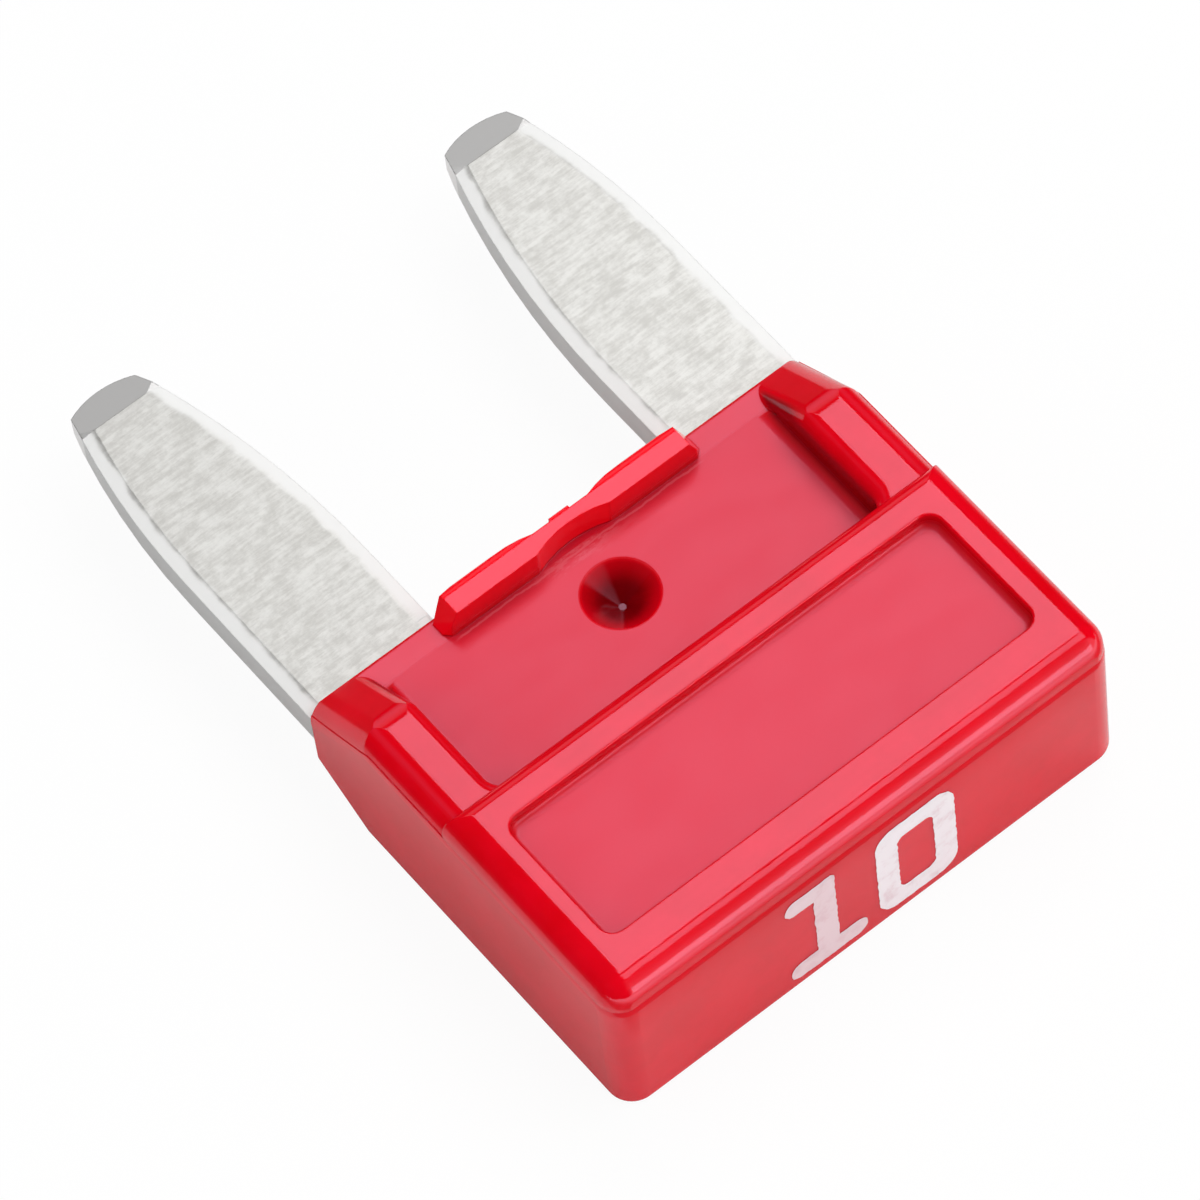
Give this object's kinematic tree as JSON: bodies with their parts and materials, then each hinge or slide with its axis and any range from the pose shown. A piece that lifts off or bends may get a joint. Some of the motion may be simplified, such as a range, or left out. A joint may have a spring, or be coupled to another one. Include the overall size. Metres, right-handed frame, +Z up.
{
  "type": "blade fuse",
  "caption": "Miniature automotive blade fuse: red moulded housing round a stamped element whose flat blades stand out of it with tapered, bevelled tips.",
  "frame": {"origin": "below the centre of the whole fuse, in the plane that its back rests on", "axes": "+X across the width, +Y along the blades towards their tips, +Z up from the back to the raised head"},
  "size_m": [0.011, 0.0164, 0.0039],
  "materials": {
    "red_plastic": "tinted, slightly see-through moulded plastic",
    "zinc_alloy": "bright stamped zinc alloy with fine cross scratches"
  },
  "bodies": {
    "root": {"housing": "red_plastic", "fuse_element": "zinc_alloy"}
  },
  "joints": []
}
